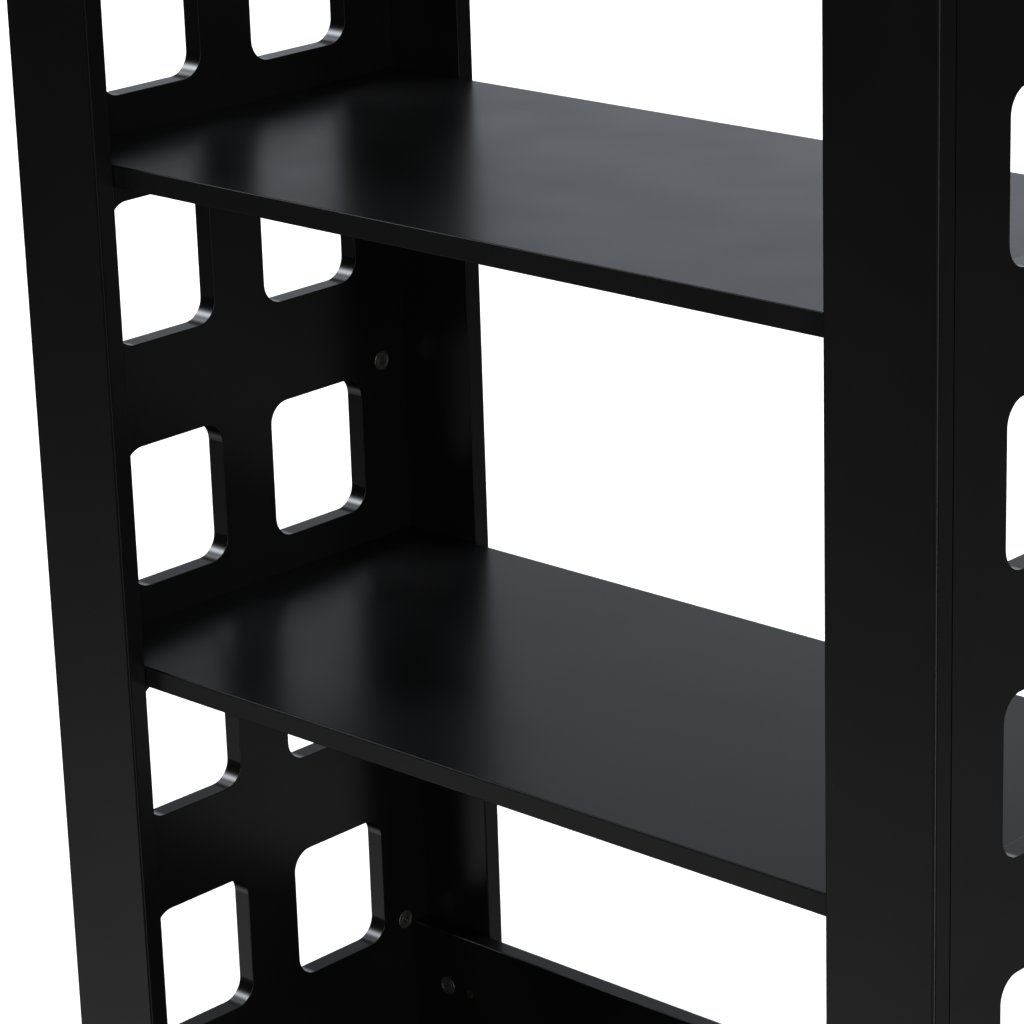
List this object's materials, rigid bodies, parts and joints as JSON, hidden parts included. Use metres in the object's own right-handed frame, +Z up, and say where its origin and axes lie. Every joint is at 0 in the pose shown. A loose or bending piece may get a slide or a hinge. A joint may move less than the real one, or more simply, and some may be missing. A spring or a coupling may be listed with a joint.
{
  "type": "open display shelving unit",
  "caption": "Open-back black board shelving unit with wide front uprights, pierced side panels and fixed shelves on cam fittings.",
  "frame": {"origin": "on the floor, under the middle of the unit's width and depth", "axes": "+Z up, front towards -Y, +X to the right seen from the front"},
  "size_m": [0.77, 0.36, 1.22],
  "materials": {
    "black_board": "satin black lacquer on fibreboard",
    "cam_zinc": "die-cast zinc",
    "bolt_steel": "zinc plated steel",
    "screw_steel": "yellow-passivated steel, dulled",
    "dowel_beech": "fluted beech",
    "glide_plastic": "matt black polyethylene"
  },
  "bodies": {
    "root": {"side_panel_left": "black_board", "side_panel_right": "black_board", "front_stile_left": "black_board", "front_stile_right": "black_board", "rear_stile_left": "black_board", "rear_stile_right": "black_board", "shelf_bottom": "black_board", "shelf_lower": "black_board", "shelf_upper": "black_board", "shelf_top": "black_board", "rear_rail": "black_board", "kick_rail": "black_board", "stile_cams_left": "cam_zinc", "stile_cams_right": "cam_zinc", "shelf_bottom_cams": "cam_zinc", "shelf_lower_cams": "cam_zinc", "shelf_upper_cams": "cam_zinc", "shelf_top_cams": "cam_zinc", "rear_rail_cams": "cam_zinc", "kick_rail_cams": "cam_zinc", "stile_cam_bolts_left": "bolt_steel", "stile_cam_bolts_right": "bolt_steel", "shelf_cam_bolts_left": "bolt_steel", "shelf_cam_bolts_right": "bolt_steel", "rear_rail_cam_bolts": "bolt_steel", "kick_rail_cam_bolts": "bolt_steel", "stile_dowels_left": "dowel_beech", "stile_dowels_right": "dowel_beech", "shelf_dowels_left": "dowel_beech", "shelf_dowels_right": "dowel_beech", "rail_dowels": "dowel_beech", "rear_rail_screws": "screw_steel", "glide_nails": "bolt_steel", "floor_glides": "glide_plastic"}
  },
  "joints": []
}
